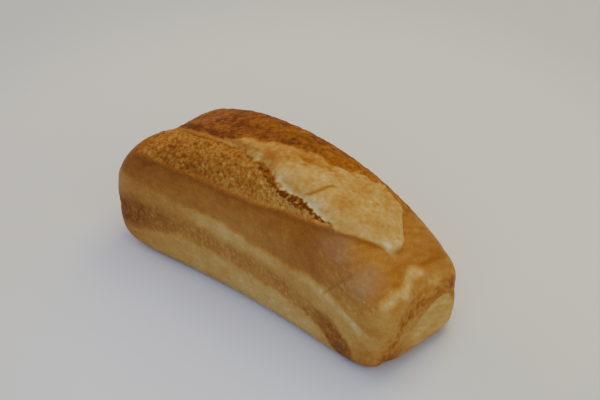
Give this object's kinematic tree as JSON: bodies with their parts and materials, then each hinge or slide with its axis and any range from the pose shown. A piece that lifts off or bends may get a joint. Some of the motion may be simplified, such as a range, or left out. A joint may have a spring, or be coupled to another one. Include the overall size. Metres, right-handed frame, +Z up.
{
  "type": "tin loaf",
  "caption": "Long uncut tin loaf with a square foot, a domed scored crust torn open along the top, and a pale burst beside a rough browned strip.",
  "frame": {"origin": "centre of the loaf's box on X and Y, on its flat bottom", "axes": "+X along the loaf towards the end where the burst is widest, +Y towards the long side that the picture hides, +Z up"},
  "size_m": [0.2834, 0.1158, 0.1323],
  "materials": {
    "crust": "dry golden brown crust, satin on the shoulders and matt where it tore"
  },
  "bodies": {
    "root": {"loaf": "crust"}
  },
  "joints": []
}
